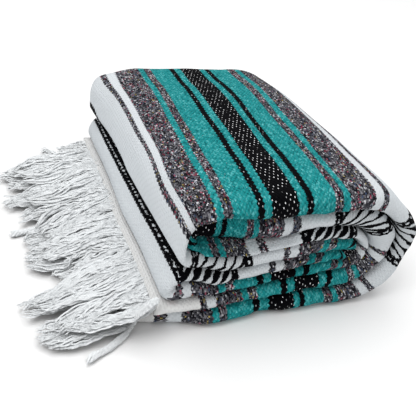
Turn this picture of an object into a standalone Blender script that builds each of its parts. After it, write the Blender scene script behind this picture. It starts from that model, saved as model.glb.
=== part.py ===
# A woven serape blanket, folded twice across its width and three times along its length, lying flat.
# X runs along the cloth's length, across its stripes; Y along its width; Z up. Metres.
# The origin is the middle of the block's underside, which rests at Z = 0.

import math
import random

import bmesh
import bpy
import numpy as np

MM = 0.001

# The cloth
CLOTH_WIDTH = 1.27
PLIES_PER_LAYER = 4                    # from the two folds across the width
BLOCK_DEPTH = CLOTH_WIDTH / PLIES_PER_LAYER
CLOTH_WALL = 3.0 * MM
SEAM_GAP = 0.3 * MM

# The block: eight layers on each other, number 8 at the bottom
FRONT_Y = -BLOCK_DEPTH / 2
BACK_Y = BLOCK_DEPTH / 2
DEPTH_SHEAR = -0.047                   # sideways lean of the block towards its back

# Height in mm of the line between two layers, at the front, at each station along X in mm
LINE_STATIONS = (-90, -74, -60, -30, 0, 30, 62)
LINE_HEIGHTS = {
    "top": (122, 127, 130, 132, 132, 131, 128),
    "1 on 2": (110, 113, 116, 112, 107, 107, 106),
    "2 on 3": (90, 87, 84, 82, 84, 91, 87),
    "3 on 4": (85, 82, 79, 78, 81, 81, 77),
    "4 on 5": (68, 63, 58, 61, 62, 64, 61),
    "5 on 6": (50, 46, 42, 46, 47, 49, 48),
    "6 on 7": (37, 34, 31, 33.5, 35, 37, 36),
    "7 on 8": (24, 22, 19.5, 21.5, 22, 20.5, 18),
    "floor": (0, 0, 0, 0, 0, 0, 0),
}

# How far each layer's folded edge stands back from the block's front, in mm
FRONT_SETBACK = {1: 0.0, 2: 4.0, 3: 0.5, 4: 0.5, 5: 2.0, 6: 4.0, 7: 1.0, 8: -2.0}

# Height of the block at each share of its depth, as a share of its height at the front
DEPTH_SHARES = (0.0, 0.06, 0.19, 0.38, 0.60, 0.79, 0.91, 1.0)
HEIGHT_SHARES = (1.0, 1.02, 1.02, 1.0, 0.97, 0.93, 0.89, 0.86)

# The nested folds. A ring is one layer that turns back on itself: its reach in mm past the fold's
# middle, the lines above and below it, how square it turns, and the two layers that it joins.
RIGHT_FOLD = {"x": 62 * MM, "middle": "4 on 5", "side": 1, "rings": (
    {"reach": 71, "above": "top", "below": "floor", "square": 0.72, "joins": (1, 8)},
    {"reach": 54, "above": "1 on 2", "below": "7 on 8", "square": 0.85, "joins": (2, 7)},
    {"reach": 31, "above": "2 on 3", "below": "6 on 7", "square": 1.0, "joins": (3, 6)},
    {"reach": 20, "above": "3 on 4", "below": "5 on 6", "square": 1.0, "joins": (4, 5)},
)}
UPPER_LEFT_FOLD = {"x": -74 * MM, "middle": "2 on 3", "side": -1, "rings": (
    {"reach": 25, "above": "top", "below": "4 on 5", "square": 0.9, "joins": (1, 4)},
    {"reach": 16, "above": "1 on 2", "below": "3 on 4", "square": 0.9, "joins": (2, 3)},
)}
LOWER_LEFT_FOLD = {"x": -74 * MM, "middle": "5 on 6", "side": -1, "rings": (
    {"reach": 29, "above": "4 on 5", "below": "6 on 7", "square": 1.0, "joins": (5, 6)},
)}
RIGHT_TURNS = 12                       # columns round a half turn
LEFT_TURNS = 10
LEFT_COVER_END = 8                     # the column of a left turn where the visible cloth stops
STRAIGHT_COLUMNS = 13

# A layer's rows from one face to the other: share of its thickness, and inset of its edge in mm
FRONT_LOBE = ((0.0, 7.0), (0.10, 3.2), (0.28, 0.8), (0.50, 0.0), (0.72, 0.8), (0.90, 3.2))
BACK_LOBE = ((0.0, 4.5), (0.12, 0.5), (0.25, 2.5), (0.37, 0.8), (0.50, 4.0), (0.75, 0.0))
# A layer whose outer ply is the visible cloth: angles round its front edge, and its rows at the back
UNDER_LIP_ANGLES = (0, 28, 56, 84, 112, 140)
BACK_UNDER_PLY = ((0.0, 1.0), (0.26, 3.0), (0.38, 0.8), (0.50, 4.0), (0.66, 0.4), (0.84, 0.4))
LIP_ANGLES = (126, 105, 84, 56, 28)
ROUNDING_OFFSET = 0.37e-6              # keeps shared points off the edge of rounding
DEPTH_STEPS = (0.0, 0.06, 0.18, 0.37, 0.59, 0.78, 0.91, 1.0)

# The cloth's two ends: height in mm of the band's faces at each station along X in mm
END_BANDS = {
    "end_band_upper": {"x": (-74.4, -83, -91, -99, -106), "top": (33.2, 33.4, 34.6, 37, 37),
                       "foot": (22.6, 23.0, 23.9, 24.4, 24.6), "layer": 7},
    "end_band_lower": {"x": (-74.4, -84, -96, -108, -120, -131), "top": (21.9, 22.5, 23.5, 23.6, 21, 17),
                       "foot": (0, 0, 0, 0, 0, 0), "layer": 8},
}

# The fringe: locks in two rows at each end, their roots fused into a strip. Heights and reach in mm.
FRINGES = {
    "fringe_upper": {"strip_x": -106.3, "strip_z": (24.8, 36.2), "root_z": (27.0, 33.6),
                     "tip_z": (12.2, 18.6), "reach": (88, 100), "sag": 1.2, "seed": 3},
    "fringe_lower": {"strip_x": -131.3, "strip_z": (4.2, 16.0), "root_z": (6.6, 13.4),
                     "tip_z": (2.2, 6.0), "reach": (96, 84), "sag": 2.8, "seed": 8},
}
LOCKS_PER_ROW = 52
LOCK_WIDTH = 3.6 * MM
LOCK_HEIGHT = 3.4 * MM
STRIP_WIDTH = 3.5 * MM
FRINGE_HALF_LENGTH = 150 * MM
FRINGE_SPREAD = 0.2                    # how much wider the locks' ends spread than their roots
BACK_REACH = 0.76                      # reach of the locks at the block's back, as a share
LOCK_STEPS = ((0.3, 1.0), (0.64, 0.92), (1.0, 0.7))    # share of the length, and of the thickness

FINISHES = {                           # base colour and roughness of each sub-part
    "folded_core": ((0.030, 0.26, 0.25), 0.92),
    "outer_stretch": ((0.055, 0.055, 0.060), 0.92),
    "lower_left_fold": ((0.72, 0.71, 0.67), 0.95),
    "end_band_upper": ((0.74, 0.74, 0.72), 0.95),
    "end_band_lower": ((0.74, 0.74, 0.72), 0.95),
    "fringe_upper": ((0.80, 0.81, 0.80), 0.90),
    "fringe_lower": ((0.80, 0.81, 0.80), 0.90),
}


def lineHeight(name, x):
    return float(np.interp(x / MM, LINE_STATIONS, LINE_HEIGHTS[name])) * MM


def place(section, y):
    """A point (x, z) of the block's front section, carried to depth y."""
    share = (y - FRONT_Y) / BLOCK_DEPTH
    tall = float(np.interp(share, DEPTH_SHARES, HEIGHT_SHARES))
    return (section[0] + DEPTH_SHEAR * (y - FRONT_Y), y, section[1] * tall)


def ringPoint(fold, ring, angle):
    """The point of a ring's outline at an angle round the fold's middle."""
    middle = lineHeight(fold["middle"], fold["x"])
    line = ring["above"] if angle >= 0 else ring["below"]
    tall = lineHeight(line, fold["x"]) - middle
    out = math.cos(angle) ** ring["square"] if abs(angle) < math.pi / 2 - 1e-6 else 0.0
    up = abs(math.sin(angle)) ** ring["square"]
    return np.array((fold["x"] + fold["side"] * ring["reach"] * MM * out, middle + tall * up))


def outwardNormals(points):
    """Outward normals of an outline that goes clockwise, seen from the front."""
    tangents = np.gradient(np.array(points), axis=0)
    tangents /= np.linalg.norm(tangents, axis=1)[:, None]
    return np.stack([-tangents[:, 1], tangents[:, 0]], axis=1)


def gauge(outer, inner, normal):
    """Half the thickness of a layer, and the step into it for each metre of depth under its face."""
    thick = np.linalg.norm(inner - outer)
    along = (inner - outer) / thick
    slant = abs(float(along @ normal))
    return thick / 2 * slant, along / slant


def plainRows(outer, inner, setback, selvedges_outside):
    """Rows (front point, front y, back point, back y) of a layer that shows only at its edges."""
    rows = []
    count = len(BACK_LOBE)
    for i in range(1, count):
        share, inset = FRONT_LOBE[i]
        back_share, back_inset = BACK_LOBE[i if selvedges_outside else count - i]
        if not selvedges_outside:
            back_share = 1 - back_share
        rows.append((outer + (inner - outer) * share, FRONT_Y + setback + inset * MM,
                     outer + (inner - outer) * back_share, BACK_Y - back_inset * MM))
    return rows


def coveredRows(outer, inner, setback, normal):
    """Rows of a layer whose outer ply is the visible cloth, a wall of its own."""
    half, step = gauge(outer, inner, normal)
    hidden = CLOTH_WALL + SEAM_GAP
    rows = []
    for angle, (share, inset) in zip(np.radians(UNDER_LIP_ANGLES), BACK_UNDER_PLY):
        front = outer + step * (half - (half - hidden) * math.cos(angle))
        front_y = FRONT_Y + setback + half - (half - hidden) * math.sin(angle)
        depth = max(2 * half * share, hidden)
        rows.append((front, front_y, outer + step * depth, BACK_Y - inset * MM))
    return rows


def lineSetback(name):
    """How far a groove stands back more than its depth: the mean of the layers on its two sides."""
    beside = [int(layer) for layer in name.split(" on ")] if " on " in name else [1 if name == "top" else 8]
    return sum(FRONT_SETBACK[layer] for layer in beside) / len(beside) * MM


def grooveRow(point, setback):
    return (point, FRONT_Y + setback + FRONT_LOBE[0][1] * MM, point, BACK_Y - BACK_LOBE[0][1] * MM)


def columnRows(points, grooves, setbacks, normal, covered):
    """All rows from the outermost line of a column to its middle line."""
    rows = []
    for k, setback in enumerate(setbacks):
        outer, inner = points[k], points[k + 1]
        if k == 0 and covered:
            rows += coveredRows(outer, inner, setback, normal)
        else:
            if k == 0:
                rows.append(grooveRow(outer, grooves[0]))
            rows += plainRows(outer, inner, setback, k % 2 == 0)
        rows.append(grooveRow(inner, grooves[k + 1]))
    return rows


def foldColumns(fold, turns, covered):
    """The columns of a nested fold, from its top round to its foot."""
    columns = []
    angles = np.radians(np.linspace(90, -90, turns + 1))
    outline = [ringPoint(fold, fold["rings"][0], angle) for angle in angles]
    normals = outwardNormals(outline) * fold["side"]
    normals[0], normals[-1] = (0, 1), (0, -1)
    middle = np.array((fold["x"], lineHeight(fold["middle"], fold["x"])))
    for j, angle in enumerate(angles):
        share = j / turns
        points = [ringPoint(fold, ring, angle) for ring in fold["rings"]] + [middle]
        grooves = [lineSetback(ring["above"]) * (1 - share) + lineSetback(ring["below"]) * share
                   for ring in fold["rings"]] + [lineSetback(fold["middle"])]
        setbacks = [(FRONT_SETBACK[ring["joins"][0]] * (1 - share)
                     + FRONT_SETBACK[ring["joins"][1]] * share) * MM for ring in fold["rings"]]
        rows = columnRows(points, grooves, setbacks, normals[j], covered(j))
        columns.append({"points": points, "setback": setbacks[0], "normal": normals[j], "rows": rows})
    return columns


def straightColumns():
    """The columns between the folds, from the top of layer 1 down to the floor."""
    columns = []
    names = list(LINE_HEIGHTS)
    for x in np.linspace(UPPER_LEFT_FOLD["x"], RIGHT_FOLD["x"], STRAIGHT_COLUMNS):
        points = [np.array((x, lineHeight(name, x))) for name in names]
        grooves = [lineSetback(name) for name in names]
        setbacks = [FRONT_SETBACK[layer] * MM for layer in range(1, 9)]
        upper = columnRows(points[:5], grooves[:5], setbacks[:4], (0, 1), True)
        lower = columnRows(points[:3:-1], grooves[:3:-1], setbacks[:3:-1], (0, -1), True)
        columns.append({"points": points, "rows": upper + lower[-2::-1]})
    return columns


def wallColumn(points, setback, normal):
    return {"points": points, "setback": setback, "normal": np.array(normal, float)}


def addNet(columns, places, faces):
    """Adds the quads between neighbouring columns of rows; places finds a row's number again."""
    def number(row):
        key = tuple(round(float(value) + ROUNDING_OFFSET, 6) for value in (*row[0], row[1], *row[2], row[3]))
        return places.setdefault(key, len(places))

    numbers = [[number(row) for row in column] for column in columns]
    for left, right in zip(numbers, numbers[1:]):
        for k in range(len(left) - 1):
            face = list(dict.fromkeys((left[k], right[k], right[k + 1], left[k + 1])))
            if len(face) > 2:
                faces.append(face)


def solidFromNets(name, nets):
    """A closed solid: the nets at its front and its back, joined along their outline."""
    places, faces = {}, []
    for columns in nets:
        addNet(columns, places, faces)
    bm = bmesh.new()
    front, back, between = [], [], {}
    for fx, fz, front_y, bx, bz, back_y in places:
        front.append(bm.verts.new(place((fx, fz), front_y)))
        back.append(bm.verts.new(place((bx, bz), back_y)))
    edges = {}
    for face in faces:
        bm.faces.new([front[i] for i in face])
        bm.faces.new([back[i] for i in reversed(face)])
        for a, b in zip(face, face[1:] + face[:1]):
            edges[(a, b)] = edges.get((a, b), 0) + 1
    rim = [(a, b) for a, b in edges if (b, a) not in edges]
    keys = list(places)

    def lengthwise(i):
        if i not in between:
            fx, fz, front_y, bx, bz, back_y = keys[i]
            chain = [front[i]]
            for share in DEPTH_STEPS[1:-1]:
                section = (fx + (bx - fx) * share, fz + (bz - fz) * share)
                chain.append(bm.verts.new(place(section, front_y + (back_y - front_y) * share)))
            between[i] = chain + [back[i]]
        return between[i]

    for a, b in rim:
        chain_a, chain_b = lengthwise(a), lengthwise(b)
        for k in range(len(chain_a) - 1):
            bm.faces.new((chain_b[k], chain_a[k], chain_a[k + 1], chain_b[k + 1]))
    return finish(name, bm)


def wallAlong(name, columns):
    """A wall of cloth along an outline, with its front edge turned round the layer under it."""
    def surface(column, inset):
        outer, inner = column["points"][:2]
        half, step = gauge(outer, inner, column["normal"])
        start = FRONT_Y + column["setback"] + half
        points = []
        for angle in np.radians(LIP_ANGLES):
            section = outer + step * (half - (half - inset) * math.cos(angle))
            points.append(place(section, start - (half - inset) * math.sin(angle)))
        for share in DEPTH_STEPS:
            points.append(place(outer + step * inset, start + (BACK_Y - 1.0 * MM - start) * share))
        return points

    bm = bmesh.new()
    outside = [[bm.verts.new(p) for p in surface(column, 0.0)] for column in columns]
    inside = [[bm.verts.new(p) for p in surface(column, CLOTH_WALL)] for column in columns]
    for grid, turned in ((outside, False), (inside, True)):
        for left, right in zip(grid, grid[1:]):
            for k in range(len(left) - 1):
                quad = (left[k], right[k], right[k + 1], left[k + 1])
                bm.faces.new(quad[::-1] if turned else quad)
    rims = [(outside[0], inside[0]), ([c[-1] for c in outside], [c[-1] for c in inside]),
            (outside[-1][::-1], inside[-1][::-1]), ([c[0] for c in outside][::-1], [c[0] for c in inside][::-1])]
    for outer_edge, inner_edge in rims:
        for k in range(len(outer_edge) - 1):
            bm.faces.new((outer_edge[k], outer_edge[k + 1], inner_edge[k + 1], inner_edge[k]))
    return finish(name, bm)


def finish(name, bm):
    """Makes a node of a closed mesh, with its faces outwards and its own material."""
    bmesh.ops.recalc_face_normals(bm, faces=bm.faces)
    mesh = bpy.data.meshes.new(name)
    bm.to_mesh(mesh)
    bm.free()
    colour, roughness = FINISHES[name]
    material = bpy.data.materials.new(name)
    material.use_nodes = True
    shader = material.node_tree.nodes["Principled BSDF"]
    shader.inputs["Base Color"].default_value = (*colour, 1.0)
    shader.inputs["Roughness"].default_value = roughness
    shader.inputs["Metallic"].default_value = 0.0
    mesh.materials.append(material)
    mesh.shade_smooth()
    mesh.set_sharp_from_angle(angle=math.radians(40))
    node = bpy.data.objects.new(name, mesh)
    block.objects.link(node)
    return node


def buildBlock():
    """The hidden layers' rounded solid, and the walls of the cloth that shows."""
    straight = straightColumns()
    right = foldColumns(RIGHT_FOLD, RIGHT_TURNS, lambda j: True)
    upper = foldColumns(UPPER_LEFT_FOLD, LEFT_TURNS, lambda j: j <= LEFT_COVER_END)
    lower = foldColumns(LOWER_LEFT_FOLD, LEFT_TURNS, lambda j: 1 <= j <= LEFT_COVER_END)
    nets = [[column["rows"] for column in straight],
            [column["rows"] for column in right],
            [column["rows"][::-1] for column in upper],
            [column["rows"][::-1] for column in lower]]
    solidFromNets("folded_core", nets)

    along_top = [wallColumn(c["points"][:2], FRONT_SETBACK[1] * MM, (0, 1)) for c in straight]
    along_foot = [wallColumn(c["points"][:6:-1], FRONT_SETBACK[8] * MM, (0, -1)) for c in straight]
    round_left = [wallColumn(c["points"], c["setback"], c["normal"]) for c in upper[:LEFT_COVER_END + 1]]
    round_right = [wallColumn(c["points"], c["setback"], c["normal"]) for c in right]
    wallAlong("outer_stretch", round_left[:0:-1] + along_top[:-1] + round_right + along_foot[-2::-1])
    fold = [wallColumn(c["points"], c["setback"], c["normal"]) for c in lower[1:LEFT_COVER_END + 1]]
    wallAlong("lower_left_fold", fold[::-1])


def buildEndBand(name, band):
    """The plain end of the cloth, all four plies, with its folded edge at the front."""
    columns = []
    setback = FRONT_SETBACK[band["layer"]] * MM
    for x, top, foot in zip(band["x"], band["top"], band["foot"]):
        upper, lower = np.array((x, top)) * MM, np.array((x, foot)) * MM
        rows = [grooveRow(upper, setback)] + plainRows(upper, lower, setback, True)
        columns.append(rows + [grooveRow(lower, setback)])
    solidFromNets(name, [columns])


def lockPath(fringe, row, y, noise):
    """Points along a lock from its root to its tip, each with its share of the lock's thickness."""
    root_x = fringe["strip_x"] * MM - STRIP_WIDTH
    share_back = (y + FRINGE_HALF_LENGTH) / (2 * FRINGE_HALF_LENGTH)
    reach = fringe["reach"][row] * MM * (1 + (BACK_REACH - 1) * share_back) * (1 - 0.14 * noise.random())
    sideways = FRINGE_SPREAD * y + 5 * MM * math.sin(y / (23 * MM) + fringe["seed"])
    sideways += noise.uniform(-0.9, 0.9) * MM
    root_z, tip_z = fringe["root_z"][row] * MM, fringe["tip_z"][row] * MM
    for share, thickness in LOCK_STEPS:
        z = tip_z + (root_z - tip_z) * (1 - share) ** fringe["sag"]
        yield (root_x - reach * share, z), y + sideways * share ** 1.3, thickness


def buildFringe(name, fringe):
    """A strip whose left face grows a lock from every second cell of two rows of cells."""
    noise = random.Random(fringe["seed"])
    inner_x = fringe["strip_x"] * MM
    root_x = inner_x - STRIP_WIDTH
    pitch = 2 * FRINGE_HALF_LENGTH / LOCKS_PER_ROW
    middles = [-FRINGE_HALF_LENGTH + pitch * (i + 0.5) for i in range(LOCKS_PER_ROW)]
    cuts_y = [-FRINGE_HALF_LENGTH]
    for y in middles:
        cuts_y += [y - LOCK_WIDTH / 2, y + LOCK_WIDTH / 2]
    cuts_y.append(FRINGE_HALF_LENGTH)
    cuts_z = [fringe["strip_z"][0] * MM]
    for z in fringe["root_z"]:
        cuts_z += [z * MM - LOCK_HEIGHT / 2, z * MM + LOCK_HEIGHT / 2]
    cuts_z.append(fringe["strip_z"][1] * MM)
    bm = bmesh.new()
    face_grid = [[bm.verts.new(place((root_x, z), y)) for z in cuts_z] for y in cuts_y]
    rear = [[bm.verts.new(place((inner_x, z), y)) for z in (cuts_z[0], cuts_z[-1])] for y in cuts_y]
    for j in range(len(cuts_y) - 1):
        for k in range(len(cuts_z) - 1):
            ring = [face_grid[j][k], face_grid[j + 1][k], face_grid[j + 1][k + 1], face_grid[j][k + 1]]
            if j % 2 == 1 and k % 2 == 1:
                growLock(bm, ring, list(lockPath(fringe, k // 2, middles[j // 2], noise)))
            else:
                bm.faces.new(ring)
        bm.faces.new((rear[j][0], rear[j][1], rear[j + 1][1], rear[j + 1][0]))
        bm.faces.new((face_grid[j][0], rear[j][0], rear[j + 1][0], face_grid[j + 1][0]))
        bm.faces.new((face_grid[j][-1], face_grid[j + 1][-1], rear[j + 1][1], rear[j][1]))
    for j in (0, -1):
        bm.faces.new([*face_grid[j], rear[j][1], rear[j][0]])
    return finish(name, bm)


def growLock(bm, ring, path):
    """Grows a tapered lock of four sides from a ring of the strip's face."""
    corners = ((-1, -1), (1, -1), (1, 1), (-1, 1))
    for section, y, thickness in path:
        centre = place(section, y)
        following = []
        for across, up in corners:
            following.append(bm.verts.new((centre[0], centre[1] + across * LOCK_WIDTH / 2 * thickness,
                                           centre[2] + up * LOCK_HEIGHT / 2 * thickness)))
        for i in range(4):
            bm.faces.new((ring[i], ring[(i + 1) % 4], following[(i + 1) % 4], following[i]))
        ring = following
    bm.faces.new(ring)


for existing in list(bpy.data.objects):
    bpy.data.objects.remove(existing, do_unlink=True)
block = bpy.data.collections.new("folded_serape_blanket")
bpy.context.scene.collection.children.link(block)

buildBlock()
for band_name, band_sizes in END_BANDS.items():
    buildEndBand(band_name, band_sizes)
for fringe_name, fringe_sizes in FRINGES.items():
    buildFringe(fringe_name, fringe_sizes)
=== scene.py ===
import math
import random

import bmesh
import bpy
import numpy as np
from mathutils import Matrix, Vector, noise


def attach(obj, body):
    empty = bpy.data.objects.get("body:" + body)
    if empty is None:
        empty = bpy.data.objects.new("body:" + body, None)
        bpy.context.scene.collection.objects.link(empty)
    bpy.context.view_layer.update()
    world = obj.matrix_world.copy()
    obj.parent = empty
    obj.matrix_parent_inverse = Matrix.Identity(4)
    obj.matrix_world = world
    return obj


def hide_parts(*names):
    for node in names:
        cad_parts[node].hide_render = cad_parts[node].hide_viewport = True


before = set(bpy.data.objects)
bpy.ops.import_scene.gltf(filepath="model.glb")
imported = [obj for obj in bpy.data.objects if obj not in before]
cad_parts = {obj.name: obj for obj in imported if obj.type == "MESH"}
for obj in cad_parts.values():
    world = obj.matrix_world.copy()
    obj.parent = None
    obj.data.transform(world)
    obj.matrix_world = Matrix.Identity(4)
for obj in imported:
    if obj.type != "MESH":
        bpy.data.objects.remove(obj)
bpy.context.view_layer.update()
mm = 0.001
print("frame loaded")


def addToScene(thing):
    bpy.context.scene.collection.objects.link(thing)
    return thing


def meshPiece(name, bm):
    mesh = bpy.data.meshes.new(name)
    bm.to_mesh(mesh)
    bm.free()
    return addToScene(bpy.data.objects.new(name, mesh))


# The camera: angles in degrees, places in the frame's metres
cameraPlace = {"azimuth": -21.934, "elevation": 34.465, "roll": 6.128, "lens": 58.07,
               "target": (-0.0576, -0.1108, 0.100), "distance": 0.5916, "clipStart": 0.02}


def makeCamera(place):
    a, e, r = (math.radians(place[name]) for name in ("azimuth", "elevation", "roll"))
    back = Vector((math.sin(a) * math.cos(e), -math.cos(a) * math.cos(e), math.sin(e)))
    level = Vector((math.cos(a), math.sin(a), 0))
    rise = back.cross(level)
    right = level * math.cos(r) + rise * math.sin(r)
    up = rise * math.cos(r) - level * math.sin(r)
    camera = addToScene(bpy.data.objects.new("camera", bpy.data.cameras.new("camera")))
    turn = Matrix((right, up, back)).transposed().to_4x4()
    camera.matrix_world = Matrix.Translation(Vector(place["target"]) + back * place["distance"]) @ turn
    camera.data.lens = place["lens"]
    camera.data.clip_start = place["clipStart"]
    bpy.context.scene.camera = camera


makeCamera(cameraPlace)
print("camera made")

# Where the layers turn back, X in mm
leftX, lowLeftX, rightX = -74, -93, 62

# The folded pile: eight layers, counted from the top. Line n lies under layer n, and "lines" has its height
# in mm at the front, at each station along X in mm
pile = {
    "width": 1.27, "plies": 4, "lean": -0.047,
    "stations": (-90, -74, -60, -30, 0, 30, 62),
    "lines": {
        0: (122, 127, 130, 132, 132, 131, 128),
        1: (110, 113, 116, 112, 107, 107, 106),
        2: (90, 87, 84, 82, 84, 91, 87),
        3: (85, 82, 79, 78, 81, 81, 77),
        4: (65, 66, 58, 61, 62, 64, 61),
        5: (50, 48, 43, 46, 47, 49, 48),
        6: (33.5, 32.5, 31.5, 33.5, 35, 37, 36),
        7: (22, 20, 19.5, 21.5, 22, 20.5, 18),
        8: (0, 0, 0, 0, 0, 0, 0),
    },
    # how tall the pile is, at shares of its depth from the front
    "depthShares": (0.0, 0.06, 0.19, 0.38, 0.60, 0.79, 0.91, 1.0),
    "heightShares": (1.0, 1.02, 1.02, 1.0, 0.97, 0.93, 0.89, 0.86),
    # how far each layer's folded edge stands back, in mm, at X in mm
    "setbacks": {
        1: ((-100, 3), (-74, 1), (-50, 0), (0, 0), (62, 0)),
        2: ((-74, 16), (-56, 14), (-45, 11), (-25, 8), (-5, 5), (30, 4), (62, 4)),
        3: ((-74, 0), (-30, 0), (20, 1), (62, 2)),
        4: ((-90, 2), (-30, 0.5), (20, 1), (62, 4)),
        5: ((-90, 4), (-30, 2), (20, 4), (62, 5)),
        6: ((-90, 3), (-30, 4), (0, 6), (62, 7)),
        7: ((-110, 1), (-40, 1), (20, 2), (62, 3)),
        8: ((-135, 18), (-117, 14), (-106, 11), (-95, 7), (-84, 3.5), (-72, 1), (-60, -1), (-38, -1),
            (-14, 3), (10, 0.5), (35, 0), (61, -1)),
    },
    # how far the stripes lean from the folds, at X in mm
    "skews": {1: ((-74, 0.066), (-60, 0.078), (0, 0.086)), 2: ((0, 0.08),), 3: ((0, 0.08),),
              4: ((-74, -0.03), (62, 0.08)), 5: ((-74, 0), (62, 0.08)), 6: ((-74, 0), (62, 0.08)),
              7: ((-74, 0), (62, 0.08)), 8: ((-131, 0), (-60, 0.03), (62, 0.086))},
    # place along the cloth in mm of what lies at X in mm, in each layer
    "stripes": {
        8: ((-131, 443), (-112, 411), (-99, 405), (-87, 397), (-60, 373.5), (-46, 359), (-20, 337.5),
            (10.5, 312), (31, 286.5), (52, 264.7), (60, 257), (67, 250.5)),
        1: ((-85, -78.8), (67, 73.2)),
        4: ((-84, -133), (-36, -177), (-28.7, -184.4), (0, -212.8), (14.4, -227), (62, -274.5)),
        5: ((-93, -491.5), (-89, -488.7), (-45, -447), (-40.2, -439.6), (-11, -411.2), (3, -397),
            (62, -338)),
        6: ((-93, -527.5), (-88.5, -531.6), (-81.5, -538.9), (-55, -562.8), (7.2, -624), (62, -679)),
        3: ((-89.3, -910.7), (-67.8, -888.9), (-55, -874.7), (-34, -851), (-16, -836.9), (14.5, -808.5),
            (22.8, -801), (73.7, -751.7)),
        2: ((-74, -934), (-60, -948), (-56.5, -955), (-52, -961), (-34.5, -983.3), (-24, -997.4),
            (-2, -1021), (13, -1035), (46.7, -1063.6), (62, -1078)),
        7: ((-106, -1384), (-73, -1347.3), (-58, -1333), (-33, -1309.5), (-20, -1297), (5, -1273.5),
            (31, -1248), (62, -1217)),
    },
    # how far the stripes lean on each layer's folded edge, at X in mm
    "slants": {1: ((0, 0),), 2: ((-40, 0.1), (62, 0.3)), 3: ((-74, -0.1), (0, 0.1), (25, 0.3), (50, 0.9)),
               4: ((-20, 0), (25, 0.3), (50, 1.0)), 5: ((-20, 0), (20, 0.5), (50, 1.1)),
               6: ((-20, 0), (20, 0.5), (62, 1.0)), 7: ((-20, 0), (62, 0.4)), 8: ((0, 0),)},
    # heights in mm of the two fringed ends, which come out at the left, at X in mm
    "bandTop": {7: ((-106, 35), (-99, 34.5), (-93, 33.2), (-83, 32.4), (-74, 32)),
                8: ((-131, 17), (-120, 20), (-108, 21.5), (-96, 21), (-84, 20.3), (-74, 20))},
    "bandFoot": {7: ((-106, 22.5), (-99, 21.5), (-91, 21), (-83, 20.5), (-74, 20)),
                 8: ((-131, 0), (-74, 0))},
    "lowerEnd": -131, "upperEnd": -106, "step": 4.0, "lobeDepth": 12.0, "clothWall": 2.4, "uneven": 2.6,
    "raggedFront": 3.5,
}
depth = pile["width"] / pile["plies"]
frontY, backY = -depth / 2, depth / 2

# The nested folds. Each ring: its reach past X, the lines above and below it, how square it turns above and
# below, and its steps. "bends" gives the cloth's own place in mm at shares of the way round a ring
folds = {
    "right": {"x": rightX, "middle": 4, "side": 1, "bends": {1: ((0.34, -1116), (0.55, -1152))},
              "rings": ((71, 0, 8, 0.8, 0.72, 50), (54, 1, 7, 0.85, 0.85, 38),
                        (31, 2, 6, 1.0, 1.0, 24), (20, 3, 5, 1.0, 1.0, 18))},
    "upperLeft": {"x": leftX, "middle": 2, "side": -1, "recede": 0.5,
                  "bends": {0: ((0.17, -85.1), (0.222, -92.7), (0.292, -99.3), (0.8, -127.7)),
                            1: ((0.45, -910.7), (0.53, -917), (0.58, -924.3))},
                  "rings": ((24, 0, 4, 0.7, 0.8, 24), (16, 1, 3, 0.9, 0.9, 16))},
    "lowerLeft": {"x": lowLeftX, "middle": 5, "side": -1,
                  "bends": {0: ((0.14, -496.3), (0.76, -524.2))}, "rings": ((10, 4, 6, 1.2, 1.0, 22),)},
}

# Smooth noise: its scale along the cloth, its scale from layer to layer, and where it starts
noises = {"line": (0.045, 7.3, 2.2), "front": (0.055, 3.7, 8.1), "selvedge": (0.05, 1, 0.5),
          "innerSelvedge": (0.045, 1, 4.5)}


def waver(name, along, layer):
    scale, apart, start = noises[name]
    return noise.noise(Vector((along * scale, layer * apart, start)))


def ramp(value, start, length, most=1.0):
    return min(max((value - start) / length, 0.0), most)


def bell(value, middle, spread):
    return math.exp(-((value - middle) / spread) ** 2)


def smoothTable(xs, ys, x):
    i = min(max(int(np.searchsorted(xs, x)) - 1, 0), len(xs) - 2)
    span = xs[i + 1] - xs[i]
    t = min(max((x - xs[i]) / span, 0.0), 1.0)
    rise = (ys[i + 1] - ys[i]) / span
    before = (ys[i] - ys[i - 1]) / (xs[i] - xs[i - 1]) if i > 0 else rise
    after = (ys[i + 2] - ys[i + 1]) / (xs[i + 2] - xs[i + 1]) if i + 2 < len(xs) else rise
    m0, m1 = (before + rise) / 2 * span, (rise + after) / 2 * span
    return ((2 * t**3 - 3 * t**2 + 1) * ys[i] + (t**3 - 2 * t**2 + t) * m0
            + (-2 * t**3 + 3 * t**2) * ys[i + 1] + (t**3 - t**2) * m1)


def lineAt(line, x):
    uneven = 0.0 if line in (0, 8) else pile["uneven"] * waver("line", x, line)
    return smoothTable(pile["stations"], pile["lines"][line], x) + uneven


def tableAt(pairs, x):
    return float(np.interp(x, *zip(*pairs)))


tiny = 1e-6


def ringPoint(fold, index, angle):
    x, middle = fold["x"], lineAt(fold["middle"], fold["x"])
    if index == len(fold["rings"]):
        return np.array((x, middle))
    reach, above, below, upper, lower, _ = fold["rings"][index]
    square = upper if angle >= 0 else lower
    tall = lineAt(above if angle >= 0 else below, x) - middle
    out = max(math.cos(angle), 0.0) ** square if abs(angle) < math.pi / 2 - tiny else 0.0
    return np.array((x + fold["side"] * reach * out, middle + tall * abs(math.sin(angle)) ** square))


def alongLayer(layer, start, end):
    count = max(2, round(abs(end - start) / pile["step"]) + 1)
    found = []
    for x in np.linspace(start, end, count):
        banded = layer in pile["bandTop"] and x < leftX
        top = tableAt(pile["bandTop"][layer], x) if banded else lineAt(layer - 1, x)
        foot = tableAt(pile["bandFoot"][layer], x) if banded else lineAt(layer, x)
        a, b = (top, foot) if layer % 2 else (foot, top)
        setback, s, skew, slant = (tableAt(pile[name][layer], x)
                                   for name in ("setbacks", "stripes", "skews", "slants"))
        found.append({"a": np.array((x, a)), "b": np.array((x, b)), "layer": layer,
                      "setback": setback, "s": s, "skew": skew, "slant": slant})
    return found


# Where between a ring's outside and inside the length of its cloth is measured
outerShare = 0.6


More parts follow.
